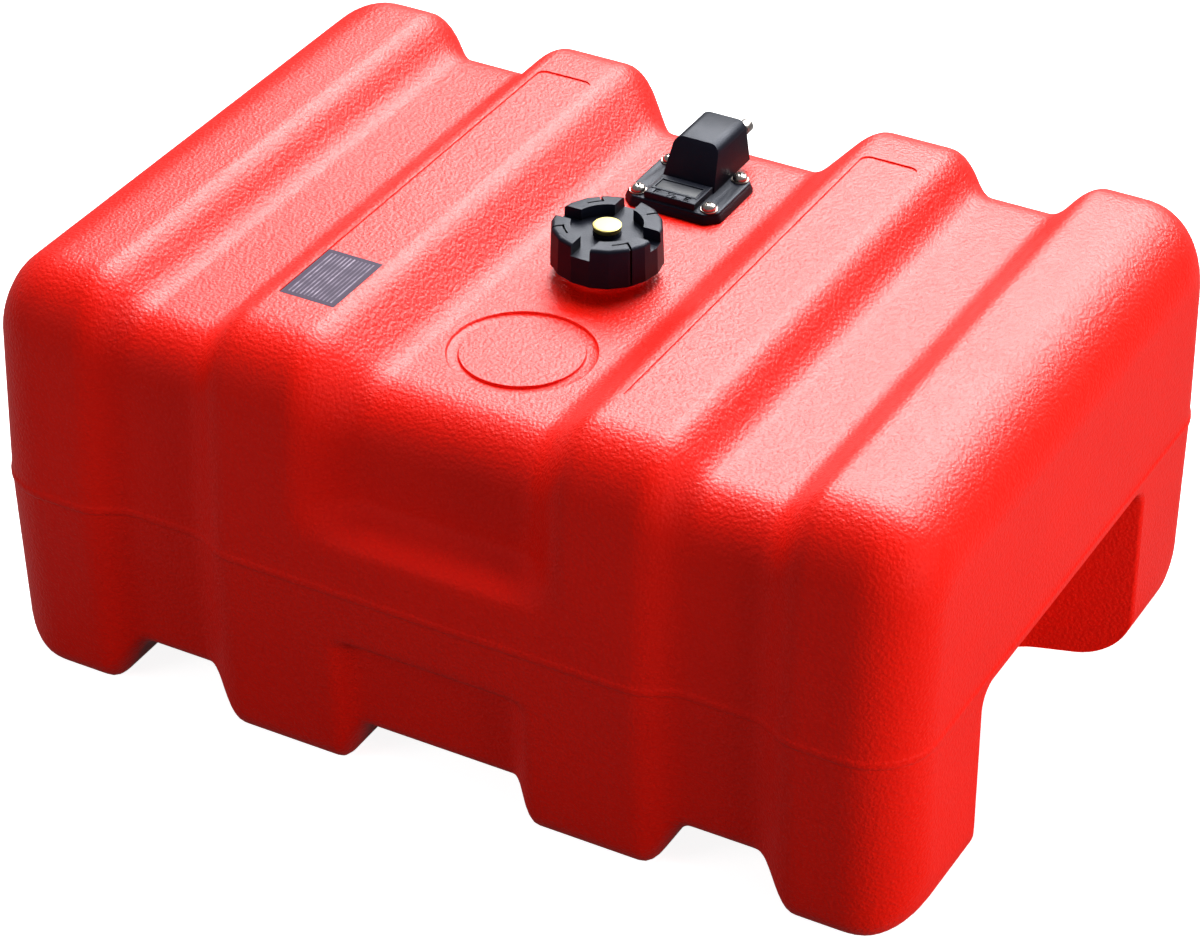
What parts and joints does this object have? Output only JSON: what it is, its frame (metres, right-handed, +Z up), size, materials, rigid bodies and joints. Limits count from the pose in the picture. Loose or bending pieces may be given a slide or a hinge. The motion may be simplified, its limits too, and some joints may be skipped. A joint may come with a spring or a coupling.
{
  "type": "outboard fuel tank",
  "caption": "Ribbed portable fuel tank with a vented screw cap, a float gauge under a clear window and a hooded hose connector.",
  "frame": {"origin": "middle of the footprint, on the ground the feet stand on", "axes": "+X along the tank, -Y the front long side, +Y the side the hose plugs into, +Z up"},
  "size_m": [0.64, 0.461, 0.2988],
  "materials": {
    "tank_red": "pebble-grained blow-moulded polyethylene",
    "label_grey": "printed foil",
    "moulded_black": "fine matt moulding",
    "seal_rubber": "matt",
    "vent_brass": "turned",
    "window_clear": "clear",
    "dial_grey": "satin",
    "pointer_red": "satin",
    "plated_steel": "bright plated",
    "inner_steel": "satin",
    "insert_brass": "knurled",
    "tube_black": "smooth hose",
    "float_foam": "closed-cell foam"
  },
  "bodies": {
    "tank": {"tank_shell": "tank_red", "rating_label": "label_grey", "gauge_gasket": "seal_rubber", "gauge_flange": "moulded_black", "gauge_lens": "window_clear", "gauge_dial": "dial_grey", "connector_hood": "moulded_black", "hose_connector": "plated_steel", "connector_ring": "seal_rubber", "pickup_tube": "tube_black", "pickup_strainer": "inner_steel", "sender_leg": "inner_steel", "pivot_pin": "insert_brass", "gauge_screw_1": "plated_steel", "gauge_washer_1": "plated_steel", "gauge_insert_1": "insert_brass", "gauge_screw_2": "plated_steel", "gauge_washer_2": "plated_steel", "gauge_insert_2": "insert_brass", "gauge_screw_3": "plated_steel", "gauge_washer_3": "plated_steel", "gauge_insert_3": "insert_brass", "gauge_screw_4": "plated_steel", "gauge_washer_4": "plated_steel", "gauge_insert_4": "insert_brass"},
    "cap_seal": {"cap_gasket": "seal_rubber"},
    "cap": {"cap_body": "moulded_black"},
    "vent_lift": {"vent_seal": "seal_rubber"},
    "vent": {"vent_screw": "vent_brass"},
    "float": {"float_arm": "inner_steel", "float_body": "float_foam"},
    "pointer": {"gauge_pointer": "pointer_red"}
  },
  "joints": [
    {"name": "cap_lift", "type": "slide", "parent": "tank", "child": "cap_seal", "axis": [0, 0, 1], "range_m": [0, 0.12]},
    {"name": "cap_turn", "type": "hinge", "parent": "cap_seal", "child": "cap", "pos_m": [0, 0, 0.273], "axis": [0, 0, 1], "range_deg": [0, 720]},
    {"name": "vent_rise", "type": "slide", "parent": "cap", "child": "vent_lift", "axis": [0, 0, 1], "range_m": [0, 0.002]},
    {"name": "vent_turn", "type": "hinge", "parent": "vent_lift", "child": "vent", "pos_m": [0, 0, 0.293], "axis": [0, 0, 1], "range_deg": [0, 800]},
    {"name": "float_swing", "type": "hinge", "parent": "tank", "child": "float", "pos_m": [0, 0.1055, 0.153], "axis": [0, 1, 0], "range_deg": [0, 100]},
    {"name": "pointer_turn", "type": "hinge", "parent": "tank", "child": "pointer", "pos_m": [0, 0.1005, 0.203], "axis": [0, 0, 1], "range_deg": [-100, 0]}
  ],
  "couplings": [
    {"joint": "pointer_turn", "follows": "float_swing", "ratio": -1},
    {"joint": "vent_turn", "follows": "vent_rise", "rad_per_m": 6283.2}
  ]
}
